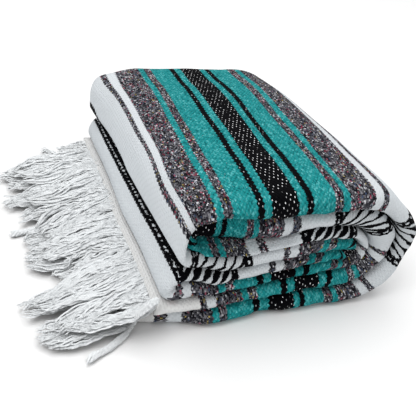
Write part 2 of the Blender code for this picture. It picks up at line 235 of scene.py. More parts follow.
def roundFold(name, index, layers, aOuter):
    fold = folds[name]
    above, below = min(layers), max(layers)
    start = 90 if layers[0] == above else -90
    steps = fold["rings"][index][-1]
    found = []
    ends, sets, skews, slants = ([tableAt(pile[name][layer], fold["x"]) for layer in layers]
                                 for name in ("stripes", "setbacks", "skews", "slants"))
    bends = [(0, ends[0]), *fold["bends"].get(index, ()), (1, ends[1])]
    for angle in np.radians(np.linspace(start, -start, steps + 1)):
        outer, inner = ringPoint(fold, index, angle), ringPoint(fold, index + 1, angle)
        a, b = (outer, inner) if aOuter else (inner, outer)
        found.append({"a": a, "b": b, "layer": above + below, "outer": outer, "inner": inner})
    middles = np.array([p["outer"] * outerShare + p["inner"] * (1 - outerShare) for p in found])
    gone = np.concatenate([[0], np.cumsum(np.linalg.norm(np.diff(middles, axis=0), axis=1))])
    for p, share in zip(found, gone / gone[-1]):
        p["s"] = tableAt(bends, share)
        p["setback"] = sets[0] + (sets[1] - sets[0]) * share**fold.get("recede", 1.0)
        p["skew"] = skews[0] * (1 - share) + skews[1] * share
        p["slant"] = slants[0] * (1 - share) + slants[1] * share
    return found[1:-1]


def clothStations():
    return (alongLayer(8, pile["lowerEnd"], rightX) + roundFold("right", 0, (8, 1), True)
            + alongLayer(1, rightX, leftX) + roundFold("upperLeft", 0, (1, 4), True)
            + alongLayer(4, leftX, rightX) + roundFold("right", 3, (4, 5), False)
            + alongLayer(5, rightX, lowLeftX) + roundFold("lowerLeft", 0, (5, 6), True)
            + alongLayer(6, lowLeftX, rightX) + roundFold("right", 2, (6, 3), True)
            + alongLayer(3, rightX, leftX) + roundFold("upperLeft", 1, (3, 2), False)
            + alongLayer(2, leftX, rightX) + roundFold("right", 1, (2, 7), False)
            + alongLayer(7, rightX, pile["upperEnd"]))


# The four plies of a layer, and the folds between them. Heights are shares of its thickness, and rows are
# shares of the way from the back to the front. A fold: its middle, half height, and reach in mm. An inset in
# mm: how far an edge stands in from the back, and how uneven it is
plies = {"gap": 0.04, "closeRows": (0, 0.012, 0.03, 0.06), "evenRows": (0.1, 0.97, 20), "lobeRows": 15,
         "lobeBlunt": 0.95, "backFold": (0.775, 0.21, 3.4), "backRows": 8, "plyC": 0.565,
         "rowsC": (0.0, 0.02, 0.2, 0.6, 0.93), "innerFold": (0.49, 0.075, 1.5), "innerRows": 5,
         "plyB": 0.415, "rowsB": (0.93, 0.6, 0.2, 0.03, 0.0), "innerFront": 0.93, "innerBehind": 5,
         "fullThick": 16, "mostReach": 1.2, "insetA": (1.6, 1.6), "insetB": (4.2, -2.2),
         "insetFold": (3.6, 0.8)}


def halfTurn(count):
    return np.radians(np.linspace(0, 180, count)[1:-1])


def clothRows():
    gap, lobe = plies["gap"], pile["lobeDepth"]
    spread = [*plies["closeRows"], *np.linspace(*plies["evenRows"]), 1.0]
    rows = [("ply a", gap, share) for share in spread]
    for angle in halfTurn(plies["lobeRows"]):
        inset = lobe * (1 - math.sin(angle) ** plies["lobeBlunt"])
        rows.append(("lobe", 0.5 - (0.5 - gap) * math.cos(angle), inset))
    rows += [("ply d", 1 - gap, share) for share in spread[::-1][::2]]
    middle, half, reach = plies["backFold"]
    rows += [("back fold", middle + half * math.cos(angle), reach * math.sin(angle))
             for angle in halfTurn(plies["backRows"])]
    rows += [("ply c", plies["plyC"], share) for share in plies["rowsC"]]
    middle, half, reach = plies["innerFold"]
    rows += [("inner fold", middle + half * math.cos(angle), reach * math.sin(angle))
             for angle in halfTurn(plies["innerRows"])]
    rows += [("ply b", plies["plyB"] - half * (1 - share), share) for share in plies["rowsB"]]
    return rows


def tallAt(y):
    return float(np.interp((y - frontY) / depth, pile["depthShares"], pile["heightShares"]))


def placeInPile(x, y, z):
    return Vector((x * mm + pile["lean"] * (y - frontY), y, z * mm * tallAt(y)))


# Soft troughs and ridges on the top: middle X and Y, length, width and height in mm, and angle
creases = (
    (-30, -95, 120, 16, 1.5, 12), (20, -40, 90, 22, -1.6, 74), (-52, 40, 150, 18, 1.4, 82),
    (35, 60, 110, 20, 1.3, 65), (-5, 110, 80, 18, -1.5, 20), (5, -135, 70, 9, -1.2, 4),
    (-70, -60, 90, 12, -1.2, 86), (-78, 150, 90, 26, 5.0, 10),
)
# how far in mm the left folds stand out, at Y in mm
lowerSwell = ((-159, 0), (-100, 0.5), (20, 0.5), (80, -1), (125, -3.5), (165, -5))
upperSwell = ((-159, -2.5), (-135, -2), (-110, -0.5), (-90, 0.5), (0, 0.3), (21, -1.5), (50, -2.7),
              (81, -3.5), (110, -2.5), (132, 0.5), (165, 1))
# how far in mm the foot of the lower left fold and the band below it spread, at Y in mm
footSpread = ((-159, 9.5), (-130, 8.5), (-80, 7.8), (-20, 7.5), (20, 4.5), (70, 3), (95, 2), (165, 1))
# Where the rumples show, in m: the start and length of each ramp, and its most where that isn't 1. A tip's
# three values are its reach, its height and its spread
rumples = {"top": (0.09, 0.03), "floor": 0.02, "leftFolds": (0.074, 0.025, 1.2), "offFloor": (0.03, 0.03),
           "upperFold": (0.064, 0.01), "footLeft": (0.090, 0.012), "footUnder": (-0.058, 0.02),
           "footOver": (0.0215, 0.003), "rightBend": (0.09, 0.03), "tipDepth": 0.045, "frontDepth": 0.02,
           "tips": ((0.0085, 0.074, 0.02), (-0.0045, 0.112, 0.011))}
# Small waves in the cloth: how far they reach in m, their scale on three axes, and where they start
waves = {"side": (0.0012, (17, 40, 0), (0, 0, 1.3)), "front": (0.0016, (34, 0, 90), (0, 2, 0)),
         "swell": (0.0011, (21, 13, 60), (3.1, 0.7, 5.2))}


def waveAt(name, point):
    reach, scale, start = waves[name]
    return reach * noise.noise(point * Vector(scale) + Vector(start))


def rumple(point):
    x, y, z = point
    lift = 0.0
    for cx, cy, length, width, height, angle in creases:
        turn = math.radians(angle)
        dx, dy = x / mm - cx, y / mm - cy
        along = dx * math.cos(turn) + dy * math.sin(turn)
        across = -dx * math.sin(turn) + dy * math.cos(turn)
        lift += height * math.exp(-((along / length * 2) ** 2 + (across / width) ** 2))
    high = ramp(z, *rumples["top"])
    floor = min(z / rumples["floor"], 1.0)
    leftward = pile["lean"] * (y - frontY) - x
    beyond = ramp(leftward, *rumples["leftFolds"]) * ramp(z, *rumples["offFloor"])
    tip = sum(reach * bell(z, middle, spread) for reach, middle, spread in rumples["tips"])
    tip *= bell(y, frontY, rumples["tipDepth"]) * ramp(x, *rumples["rightBend"])
    level = z / tallAt(y)
    upper = ramp(level, *rumples["upperFold"])
    out = tableAt(lowerSwell, y / mm) * (1 - upper) + tableAt(upperSwell, y / mm) * upper
    foot = (ramp(leftward, *rumples["footLeft"]) * ramp(-level, *rumples["footUnder"])
            * ramp(level, *rumples["footOver"]))
    return Vector((x + waveAt("side", point.yzx) * floor
                   - out * beyond * mm - tableAt(footSpread, y / mm) * foot * mm + tip,
                   y + waveAt("front", point) * bell(y, frontY, rumples["frontDepth"]),
                   z + (lift * high * mm + waveAt("swell", point)) * floor))


# How the stripes wander on the top layer and over its left fold. Places along the cloth are in mm, and Y and
# reaches are in m
wanders = {"layers": (1, 5), "last": -200, "turn": (60, 20), "middle": (0.003, -0.005, 0.075),
           "back": (0.010, 0.15, 0.04), "backTurn": (104, 12), "front": 0.0048, "frontY": (0.055, 0.055),
           "frontTurn": (67, 30), "frontEnd": (-135, 20)}


def wanderAt(s, layer, y):
    if layer not in wanders["layers"] or s <= wanders["last"]:
        return 0.0
    reach, middle, spread = wanders["middle"]
    wander = -reach * bell(y, middle, spread)
    reach, middle, spread = wanders["back"]
    wander -= reach * bell(y, middle, spread) * ramp(-s, *wanders["backTurn"])
    near = ramp(-y, *wanders["frontY"])
    wander += (wanders["front"] * near * near * (3 - 2 * near) * ramp(-s, *wanders["frontTurn"])
               * ramp(s, *wanders["frontEnd"]))
    return wander * ramp(-s, *wanders["turn"])


def clothColumn(station, rows):
    s, layer = station["s"], station["layer"]
    thick = float(np.linalg.norm(station["b"] - station["a"]))
    front = frontY + (station["setback"] + pile["raggedFront"] * abs(waver("front", s, layer))) * mm
    ragged, innerRagged = waver("selvedge", s, layer), waver("innerSelvedge", s, layer)
    edgeA, edgeB, edgeFold = (backY - (plies[name][0] + plies[name][1] * uneven) * mm
                              for name, uneven in (("insetA", ragged), ("insetB", innerRagged),
                                                   ("insetFold", ragged)))
    lobeEnd = front + pile["lobeDepth"] * mm
    inner = lobeEnd + plies["innerBehind"] * mm
    flat = {"ply a": (edgeA, lobeEnd, 1.0), "ply d": (edgeFold, lobeEnd, 1.0),
            "ply c": (edgeFold, inner, plies["innerFront"]), "ply b": (edgeB, inner, plies["innerFront"])}
    bent = {"lobe": (front, mm), "inner fold": (inner, -mm),
            "back fold": (edgeFold, mm * min(thick / plies["fullThick"], plies["mostReach"]))}
    column, gone, before = [], 0.0, None
    for kind, share, value in rows:
        if kind in flat:
            start, end, whole = flat[kind]
            y = start + (end - start) * value / whole
        else:
            start, scale = bent[kind]
            y = start + value * scale
        section = station["a"] + (station["b"] - station["a"]) * share
        point = rumple(placeInPile(section[0], y, section[1]))
        if before is not None:
            gone += math.hypot(y - before[0], thick * (share - before[1]) * mm)
        before = (y, share)
        slant = station["slant"] * (share - 0.5) * thick * mm
        column.append((point, gone, s * mm - station["skew"] * (y - frontY) + wanderAt(s, layer, y) + slant))
    return column


def buildCloth():
    stations, rows = clothStations(), clothRows()
    columns, lines = len(stations) - 1, len(rows) - 1
    table = {}
    for i, station in enumerate(stations):
        column = clothColumn(station, rows)
        whole = column[-1][1]
        for j, (point, t, s) in enumerate(column):
            table[(i, j)] = (point, s, t / whole * pile["width"])
    bm = bmesh.new()
    bmesh.ops.create_grid(bm, x_segments=columns, y_segments=lines, size=1.0)
    uvLayer = bm.loops.layers.uv.new("cloth")
    at = {}
    for vertex in bm.verts:
        i = round((vertex.co.x + 1) / 2 * columns)
        j = round((vertex.co.y + 1) / 2 * lines)
        at[vertex] = (i, j)
        vertex.co = table[(i, j)][0]
    for face in bm.faces:
        face.smooth = True
        for loop in face.loops:
            _, s, t = table[at[loop.vert]]
            loop[uvLayer].uv = (s, t)
    return meshPiece("folded_cloth", bm)


cloth = buildCloth()
topFace = max(cloth.data.polygons, key=lambda face: face.center.z)
if topFace.normal.z < 0:
    cloth.data.flip_normals()
wall = cloth.modifiers.new("wall", "SOLIDIFY")
wall.thickness = pile["clothWall"] * mm
wall.offset = -1
print("cloth folded:", len(cloth.data.polygons), "faces")

# The fringe. Each clump: the stretch of roots along Y in mm that it gathers, and the X and Y of its tips
clumps = ((150, 134, -160, 166), (134, 104, -221, 124), (104, 86, -212, 98), (86, 52, -221, 64),
          (52, 28, -209, 32), (28, -12, -209, -6), (-12, -52, -213, -38), (-52, -72, -195, -64),
          (-72, -112, -230, -106), (-112, -160, -219, -145))
# Each fringe in mm: X of its roots, the heights that roots and tips lie between, how far its tips shift
# along X, the power by which it sags, how far its roots stand out at Y, and the route of each loose cord
fringes = {
    "fringe_upper_end": {
        "node": "fringe_upper", "seed": 11, "rootX": -103.5, "rootZ": (23, 34), "tipZ": (6, 15), "shift": 20,
        "sag": 1.5, "spread": footSpread,
        "ropes": (((-111, -156, 42), (-118.7, -159, 43), (-124.8, -160, 38.5), (-129.5, -159, 33),
                   (-132.7, -155, 23), (-136, -151, 11), (-139.5, -152, 4.5), (-146.9, -157.4, 3),
                   (-154.5, -162.8, 3), (-161.8, -166.3, 3), (-170, -170, 3), (-179, -174.4, 3)),)},
    "fringe_lower_end": {
        "node": "fringe_lower", "seed": 5, "rootX": -128.5, "rootZ": (3, 15), "tipZ": (2.4, 8), "shift": 3,
        "sag": 2.4, "spread": ((0, 0),),
        "ropes": (((-129, 30, 10), (-160, 26, 7), (-195, 17, 4), (-228, 14, 3)),)},
}
# A lock is a bunch of yarns, a strand one yarn in it, and a rope a loose cord of twisted yarns. Sizes are in
# mm, but a strand's length and kinks, and steps in the UV map, are in m. A pair is the range of a draw, and
# a bias is the power that makes short or low ones rare
yarn = {"locks": 112, "perLock": 7, "radius": 0.94, "thickness": (0.8, 1.25), "taper": 0.35, "segments": 24,
        "sides": 4, "halfWidth": 152, "stray": 2, "opening": (1.0, 3.2), "shorter": 0.16, "shortBias": 1.5,
        "floorGap": 0.4, "weld": 0.005, "around": 0.005, "apart": 0.011, "ownNormal": 0.3,
        "upNormal": (0, -0.1, 0.75)}
lock = {"shorter": 0.34, "shortBias": 2.2, "rootStray": (-1.5, 1.0), "gather": 0.28, "tipStray": 5, "bow": 8,
        "bend": 4, "wave": (0.8, 3.4), "waves": 10, "lower": 0.3, "lowBias": 1.5, "arch": (0, 3.0),
        "archShare": 1.6, "drift": 1.25, "spreadShare": (0.2, 0.8), "phase": (0, 6.28)}
strand = {"turn": (-3.5, 3.5), "kink": (0.35, 1.1), "kinkEvery": (0.013, 0.024), "kinkTall": 0.4,
          "length": 0.11, "rootAside": (-1.6, 1.6), "away": 0.6, "widen": (0.4, 1.3), "wide": 1.5,
          "tall": 0.45, "lowest": 2.0}
# Flat strips in each lock close the gaps between its yarns. A place: how far below and beside its middle
ribbon = {"wide": 3.4, "tall": 0.8, "reach": 0.86, "lowest": 1.4, "places": ((0.9, 0.0), (1.7, 2.6))}
rope = {"yarns": 5, "radius": 2.3, "coil": 2.25, "turnEvery": 15.0, "length": 80, "shorter": 0.06,
        "frayFrom": 0.85, "fray": 9, "lowest": 1.6}


def lockMiddle(sizes, y, draw):
    clump = next((c for c in clumps if c[1] <= y <= c[0]), clumps[0] if y > 0 else clumps[-1])
    start, end, clumpX, clumpY = clump
    short = 1 - lock["shorter"] * draw.random() ** lock["shortBias"]
    rootX = sizes["rootX"] + draw.uniform(*lock["rootStray"])
    spread = tableAt(sizes["spread"], y)
    tipX = rootX + (clumpX + sizes["shift"] - rootX) * short
    gathered = clumpY + (y - (start + end) / 2) * lock["gather"]
    tipY = y + (gathered - y) * short + draw.gauss(0, lock["tipStray"])
    bow, bend = draw.gauss(0, lock["bow"]), draw.gauss(0, lock["bend"])
    wave, phase = draw.uniform(*lock["wave"]), draw.uniform(*lock["phase"])
    level = 1 - lock["lower"] * draw.random() ** lock["lowBias"]
    rootZ, tipZ = (low + (high - low) * level for low, high in (sizes["rootZ"], sizes["tipZ"]))
    arch = draw.uniform(*lock["arch"])
    spread *= lock["spreadShare"][0] + lock["spreadShare"][1] * level

    def at(t):
        x = rootX + (tipX - rootX) * t - spread * (1 - t)
        side = (y + (tipY - y) * t ** lock["drift"] + bow * math.sin(math.pi * t)
                + bend * math.sin(2 * math.pi * t) + wave * math.sin(phase + lock["waves"] * t) * t)
        z = (tipZ + (rootZ - tipZ) * max(1 - t, 0) ** sizes["sag"]
             + arch * math.sin(math.pi * min(t * lock["archShare"], 1)))
        return x, side, z

    return at


def ropeMiddle(points):
    shares = [i / (len(points) - 1) for i in range(len(points))]

    def at(t):
        return tuple(smoothTable(shares, [p[axis] for p in points], t) for axis in range(3))

    return at


def yarnRings(path, wide, tall):
    segments = yarn["segments"]
    centres = [path(i / segments) for i in range(segments + 1)]
    rings, gone = [], 0.0
    for i, centre in enumerate(centres):
        along = (centres[min(i + 1, segments)] - centres[max(i - 1, 0)]).normalized()
        sideways = along.cross(Vector((0, 0, 1))).normalized()
        gone += (centre - centres[max(i - 1, 0)]).length
        thin = 0.0 if i in (0, segments) else mm * (1 - yarn["taper"] * (i / segments) ** 3)
        rings.append((centre, sideways * wide * thin, sideways.cross(along) * tall * thin, gone))
    return rings


def strandPath(middle, draw, opening, ending):
    phase, turn = draw.uniform(*lock["phase"]), draw.uniform(*strand["turn"])
    kink, kinkPhase = draw.uniform(*strand["kink"]), draw.uniform(*lock["phase"])
    kinks = strand["length"] / draw.uniform(*strand["kinkEvery"]) * 2 * math.pi
    root = draw.uniform(*strand["rootAside"])
    first, more = strand["widen"]

    def path(share):
        t = share * ending
        x, side, z = middle(t)
        away = strand["away"] + opening * (first + more * t * (1 - t ** 3))
        side += (root * (1 - t) + strand["wide"] * away * math.cos(phase + turn * t)
                 + kink * math.sin(kinkPhase + kinks * t))
        z += (strand["tall"] * away * math.sin(phase + turn * t)
              + kink * strand["kinkTall"] * math.cos(kinkPhase + kinks * t))
        return placeInPile(x, side * mm, max(z, strand["lowest"]))

    return path


def ribbonPath(middle, drop, aside):

    def path(share):
        x, side, z = middle(share * ribbon["reach"])
        return placeInPile(x, (side + aside) * mm, max(z - drop, ribbon["lowest"]))

    return path


def ropePath(middle, offset, draw):
    ending = 1 - rope["shorter"] * draw.random()

    def path(share):
        t = share * ending
        x, side, z = middle(t)
        turn = offset + t * rope["length"] / rope["turnEvery"] * 2 * math.pi
        away = rope["coil"] * (1 + rope["fray"] * max(t - rope["frayFrom"], 0))
        z = max(z + away * math.sin(turn), rope["lowest"])
        return Vector((x * mm, (side + away * math.cos(turn)) * mm, z * mm))

    return path


def fringeStrands(sizes):
    draw = random.Random(sizes["seed"])
    half = yarn["halfWidth"]
    strands = []
    for k in range(yarn["locks"]):
        y = half - 2 * half * (k + 0.5) / yarn["locks"] + draw.uniform(-yarn["stray"], yarn["stray"])
        middle = lockMiddle(sizes, y, draw)
        opening = draw.uniform(*yarn["opening"])
        for drop, aside in ribbon["places"]:
            strands.append(yarnRings(ribbonPath(middle, drop, aside), ribbon["wide"], ribbon["tall"]))
        for _ in range(yarn["perLock"]):
            ending = 1 - yarn["shorter"] * draw.random() ** yarn["shortBias"]
            path = strandPath(middle, draw, opening, ending)
            radius = yarn["radius"] * draw.uniform(*yarn["thickness"])
            strands.append(yarnRings(path, radius, radius))
    for points in sizes["ropes"]:
        middle = ropeMiddle(points)
        for k in range(rope["yarns"]):
            path = ropePath(middle, k / rope["yarns"] * 2 * math.pi, draw)
            strands.append(yarnRings(path, rope["radius"], rope["radius"]))
    return strands


def buildFringe(name, sizes):
    strands = fringeStrands(sizes)
    segments, around = yarn["segments"], yarn["sides"] + 1
    columns = len(strands) * around - 1
    bm = bmesh.new()
    bmesh.ops.create_grid(bm, x_segments=segments, y_segments=columns, size=1.0)
    uvLayer = bm.loops.layers.uv.new("yarn")
    place = {vertex: (round((vertex.co.x + 1) / 2 * segments), round((vertex.co.y + 1) / 2 * columns))
             for vertex in bm.verts}
    between = [face for face in bm.faces if len({place[vertex][1] // around for vertex in face.verts}) > 1]
    bmesh.ops.delete(bm, geom=between, context="FACES")
    for vertex in bm.verts:
        i, column = place[vertex]
        k, j = column // around, column % around
        centre, sideways, upwards, _ = strands[k][i]
        angle = 2 * math.pi * j / yarn["sides"]
        vertex.co = centre + sideways * math.cos(angle) + upwards * math.sin(angle)
        vertex.co.z = max(vertex.co.z, yarn["floorGap"] * mm)
    for face in bm.faces:
        face.smooth = True
        for loop in face.loops:
            i, column = place[loop.vert]
            k, j = column // around, column % around
            loop[uvLayer].uv = (strands[k][i][3], j / yarn["sides"] * yarn["around"] + k * yarn["apart"])
    bmesh.ops.remove_doubles(bm, verts=bm.verts, dist=yarn["weld"] * mm)
    bmesh.ops.recalc_face_normals(bm, faces=bm.faces)
    piece = meshPiece(name, bm)
    # normals that mostly face up light the yarns as a soft mass
    up = Vector(yarn["upNormal"])
    normals = [(vertex.normal * yarn["ownNormal"] + up).normalized() for vertex in piece.data.vertices]
    piece.data.normals_split_custom_set_from_vertices(normals)
    return piece


fringePieces = {name: buildFringe(name, sizes) for name, sizes in fringes.items()}
print("fringe made:", [len(piece.data.polygons) for piece in fringePieces.values()])


# Materials. Wiring makes and links a tree's nodes
class Wiring:

    def __init__(self, tree):
        self.tree = tree

    def node(self, kind, **settings):
        made = self.tree.nodes.new(kind)
        for name, value in settings.items():
            setattr(made, name, value)
        return made

    def put(self, socket, value):
        if isinstance(value, bpy.types.NodeSocket):
            self.tree.links.new(value, socket)
        else:
            socket.default_value = value

    def math(self, operation, *values, clamp=False):
        made = self.node("ShaderNodeMath", operation=operation, use_clamp=clamp)
        for socket, value in zip(made.inputs, values):
            self.put(socket, value)
        return made.outputs[0]

    # the Mix node has its colours in sockets 6 and 7, and its mixed colour in 2
    def mix(self, share, first, second, blend="MIX"):
        made = self.node("ShaderNodeMix", data_type="RGBA", blend_type=blend)
        for socket, value in ((0, share), (6, first), (7, second)):
            self.put(made.inputs[socket], value)
        return made.outputs[2]

    def noise(self, vector, scale, detail, rough=0.5):
        made = self.node("ShaderNodeTexNoise")
        for name, value in (("Vector", vector), ("Scale", scale), ("Detail", detail), ("Roughness", rough)):
            self.put(made.inputs[name], value)
        return made.outputs["Fac"]

    def oneLess(self, value):
        return self.math("SUBTRACT", 1.0, value)

    # a share of the first value with the rest of the second
    def blend(self, share, first, second):
        rest = self.math("MULTIPLY", second, 1 - share)
        return self.math("ADD", self.math("MULTIPLY", first, share), rest)

    def vector(self, x, y, z=0.0):
        made = self.node("ShaderNodeCombineXYZ")
        for socket, value in zip(made.inputs, (x, y, z)):
            self.put(socket, value)
        return made.outputs[0]

    def parts(self, vector):
        made = self.node("ShaderNodeSeparateXYZ")
        self.put(made.inputs[0], vector)
        return made.outputs

    def ramp(self, factor, stops, constant=True):
        made = self.node("ShaderNodeValToRGB")
        self.put(made.inputs[0], factor)
        ramp = made.color_ramp
        ramp.interpolation = "CONSTANT" if constant else "LINEAR"
        while len(ramp.elements) < len(stops):
            ramp.elements.new(0.5)
        for element, (position, colour) in zip(ramp.elements, stops):
            element.position = position
            element.color = (*colour, 1.0)
        return made.outputs[0]

    def smooth(self, value, low, high):
        made = self.node("ShaderNodeMapRange", interpolation_type="SMOOTHSTEP")
        for name, given in (("Value", value), ("From Min", low), ("From Max", high)):
            self.put(made.inputs[name], given)
        return made.outputs["Result"]


def makeGroup(name, inputs, outputs):
    tree = bpy.data.node_groups.new(name, "ShaderNodeTree")
    for socket, kind, value in inputs:
        made = tree.interface.new_socket(socket, in_out="INPUT", socket_type=kind)
        if value is not None:
            made.default_value = value
    for socket, kind in outputs:
        tree.interface.new_socket(socket, in_out="OUTPUT", socket_type=kind)
    return tree, Wiring(tree), tree.nodes.new("NodeGroupInput"), tree.nodes.new("NodeGroupOutput")


# The weave in metres, from pick to pick and between groups of the warp, and how uneven and steep beads are
weaveLook = {"pick": 0.0019, "warp": 0.0057, "uneven": 0.16, "steep": 1.9}


def weaveGroup():
    tree, w, given, result = makeGroup(
        "weftWeave",
        [("Cloth", "NodeSocketVector", None), ("Pick", "NodeSocketFloat", weaveLook["pick"]),
         ("Warp", "NodeSocketFloat", weaveLook["warp"]),
         ("Unevenness", "NodeSocketFloat", weaveLook["uneven"])],
        [("Height", "NodeSocketFloat"), ("Along", "NodeSocketFloat"), ("Bead", "NodeSocketColor")])
    u, v, _ = w.parts(given.outputs["Cloth"])
    q = w.math("DIVIDE", u, w.math("MULTIPLY", given.outputs["Pick"], 2.0))
    r = w.math("DIVIDE", v, given.outputs["Warp"])
    cells = w.node("ShaderNodeTexVoronoi", voronoi_dimensions="2D", feature="F1")
    w.put(cells.inputs["Vector"], w.vector(w.math("ADD", q, r), w.math("SUBTRACT", q, r)))
    cells.inputs["Scale"].default_value = 1.0
    w.put(cells.inputs["Randomness"], given.outputs["Unevenness"])
    x, y, _ = w.parts(cells.outputs["Position"])
    w.put(result.inputs["Along"], w.math("MULTIPLY", w.math("ADD", x, y), given.outputs["Pick"]))
    d = cells.outputs["Distance"]
    fall = w.math("MULTIPLY", w.math("MULTIPLY", d, d), weaveLook["steep"])
    w.put(result.inputs["Height"], w.math("SUBTRACT", 1.0, fall, clamp=True))
    w.put(result.inputs["Bead"], cells.outputs["Color"])
    return tree


# The white warp that shows between dark picks, in mm: the two steps of its lattice, and half a dot. Stray
# and middle are shares of a cell, and fade is a dot's soft edge
warpDots = {"first": (3.13, 2.45), "second": (-1.76, 4.45), "half": (0.45, 0.92), "stray": 0.2,
            "middle": 0.6, "fade": (0.5, 1.2)}


def warpGroup():
    tree, w, given, result = makeGroup("warpDots", [("Cloth", "NodeSocketVector", None)],
                                       [("Dot", "NodeSocketFloat"), ("Luck", "NodeSocketFloat")])
    (a, b), (c, d) = warpDots["first"], warpDots["second"]
    area = (a * d - b * c) * mm
    u, v, _ = w.parts(given.outputs["Cloth"])
    i = w.math("ADD", w.math("MULTIPLY", u, d / area), w.math("MULTIPLY", v, -c / area))
    j = w.math("ADD", w.math("MULTIPLY", u, -b / area), w.math("MULTIPLY", v, a / area))
    luck = w.node("ShaderNodeTexWhiteNoise", noise_dimensions="2D")
    w.put(luck.inputs["Vector"], w.vector(w.math("FLOOR", i), w.math("FLOOR", j)))
    stray = w.parts(luck.outputs["Color"])
    i, j = (w.math("ADD", w.math("FRACT", cell),
                   w.math("MULTIPLY_ADD", shift, warpDots["stray"], -warpDots["middle"]))
            for cell, shift in ((i, stray[0]), (j, stray[1])))
    squares = []
    for half, alongI, alongJ in ((warpDots["half"][0], a, c), (warpDots["half"][1], b, d)):
        off = w.math("ADD", w.math("MULTIPLY", i, alongI / half), w.math("MULTIPLY", j, alongJ / half))
        squares.append(w.math("MULTIPLY", off, off))
    w.put(result.inputs["Dot"], w.oneLess(w.smooth(w.math("ADD", *squares), *warpDots["fade"])))
    w.put(result.inputs["Luck"], luck.outputs["Value"])
    return tree


# The stripes from a motif's middle to half a repeat away, in mm: where each starts, and its yarn
motif = {"repeat": 312.0, "ends": (411.3, -1347.3),
         "stripes": ((0, "black"), (11.8, "teal"), (18.9, "black"), (25.5, "teal"), (47.3, "grey"),
                     (54.9, "teal"), (61.5, "grey"), (85.1, "white"), (92.7, "grey"), (99.3, "white"),
                     (127.7, "border"), (131.0, "dashes"), (132.0, "border"), (135.3, "diamonds"))}
# Each kind of stripe as three marks: one mark is a plain dyed stripe, and two are a pattern
stripeKinds = {"teal": (1, 0, 0), "black": (0, 1, 0), "grey": (0, 0, 1), "white": (0, 0, 0),
               "border": (0, 1, 0), "dashes": (1, 1, 0), "diamonds": (1, 0, 1)}
# The border's dashes and diamonds, in metres, and how much of the white warp shows in black stripes
borders = {"uneven": (90.0, 1.0), "dashEvery": 0.0088, "dashShare": 0.52, "dashStray": 0.02, "slant": 0.6,
           "stray": 0.006, "every": 0.0083, "everyAcross": 0.02886, "acrossShare": 0.7, "edge": -0.08,
           "centre": 0.08, "dots": 0.30, "centreDots": 0.42}


def stripeGroup():
    tree, w, given, result = makeGroup(
        "serapeStripes",
        [(name, "NodeSocketFloat", 0.0) for name in ("Along", "Fine Along", "Fine Across")],
        [(name, "NodeSocketFloat") for name in ("Teal", "Black", "Grey", "Cream", "Floats", "Dotted")])
    along, fineAlong, fineAcross = (given.outputs[name] for name in ("Along", "Fine Along", "Fine Across"))
    half = motif["repeat"] / 2 * mm
    folded = w.math("DIVIDE", w.math("PINGPONG", along, half), half)
    split = w.node("ShaderNodeSeparateColor")
    w.put(split.inputs[0], w.ramp(folded, [(start * mm / half, stripeKinds[kind])
                                           for start, kind in motif["stripes"]]))
    r, g, b = split.outputs
    inside = w.math("MULTIPLY", w.math("LESS_THAN", along, motif["ends"][0] * mm),
                    w.math("GREATER_THAN", along, motif["ends"][1] * mm))
    dashes = w.math("MULTIPLY", r, g)
    diamonds = w.math("MULTIPLY", r, b)
    uneven = w.noise(w.vector(fineAlong, fineAcross), *borders["uneven"])
    dashPlace = w.math("ADD", fineAcross, w.math("MULTIPLY", uneven, borders["dashStray"]))
    dashOn = w.math("LESS_THAN", w.math("FRACT", w.math("DIVIDE", dashPlace, borders["dashEvery"])),
                    borders["dashShare"])
    place = w.math("ADD", fineAlong, w.math("MULTIPLY", fineAcross, borders["slant"]))
    place = w.math("ADD", place, w.math("MULTIPLY", uneven, borders["stray"]))
    first = w.math("COSINE", w.math("MULTIPLY", place, 2 * math.pi / borders["every"]))
    second = w.math("COSINE", w.math("MULTIPLY", fineAcross, 2 * math.pi / borders["everyAcross"]))
    both = w.math("ADD", first, w.math("MULTIPLY", second, borders["acrossShare"]))
    leaf = w.math("GREATER_THAN", both, borders["edge"])
    onlyTeal = w.math("MULTIPLY", r, w.math("MULTIPLY", w.oneLess(g), w.oneLess(b)))
    onlyBlack, onlyGrey = (w.math("MULTIPLY", mark, w.oneLess(r)) for mark in (g, b))
    blackDashes = w.math("MULTIPLY", dashes, w.oneLess(dashOn))
    black = w.math("ADD", onlyBlack, w.math("ADD", blackDashes, w.math("MULTIPLY", diamonds, leaf)))
    for name, mask in (("Teal", onlyTeal), ("Black", black), ("Grey", onlyGrey), ("Floats", diamonds)):
        w.put(result.inputs[name], w.math("MULTIPLY", mask, inside))
    w.put(result.inputs["Cream"], w.oneLess(inside))
    centre = w.math("LESS_THAN", folded, borders["centre"])
    odds = w.math("ADD", borders["dots"], w.math("MULTIPLY", centre, borders["centreDots"]))
    w.put(result.inputs["Dotted"], w.math("MULTIPLY", odds, black))
    return tree


fluffLook = {"scale": 900.0, "detail": 4.0, "rough": 0.65, "patchScale": 45.0, "patchDetail": 3.0}


def fluffGroup():
    tree, w, given, result = makeGroup(
        "yarnFluff", [("Place", "NodeSocketVector", None), ("Scale", "NodeSocketFloat", fluffLook["scale"])],
        [("Fluff", "NodeSocketFloat"), ("Patches", "NodeSocketFloat")])
    place, scale = given.outputs["Place"], given.outputs["Scale"]
    w.put(result.inputs["Fluff"], w.noise(place, scale, fluffLook["detail"], fluffLook["rough"]))
    w.put(result.inputs["Patches"], w.noise(place, fluffLook["patchScale"], fluffLook["patchDetail"]))
    return tree


weaveTree, warpTree, stripesTree, fluffTree = weaveGroup(), warpGroup(), stripeGroup(), fluffGroup()


def placeGroup(w, tree, **inputs):
    made = w.node("ShaderNodeGroup")
    made.node_tree = tree
    for name, value in inputs.items():
        w.put(made.inputs[name.replace("_", " ")], value)
    return made.outputs


def startMaterial(name):
    material = bpy.data.materials.new(name)
    material.use_nodes = True
    return material, Wiring(material.node_tree), material.node_tree.nodes["Principled BSDF"]


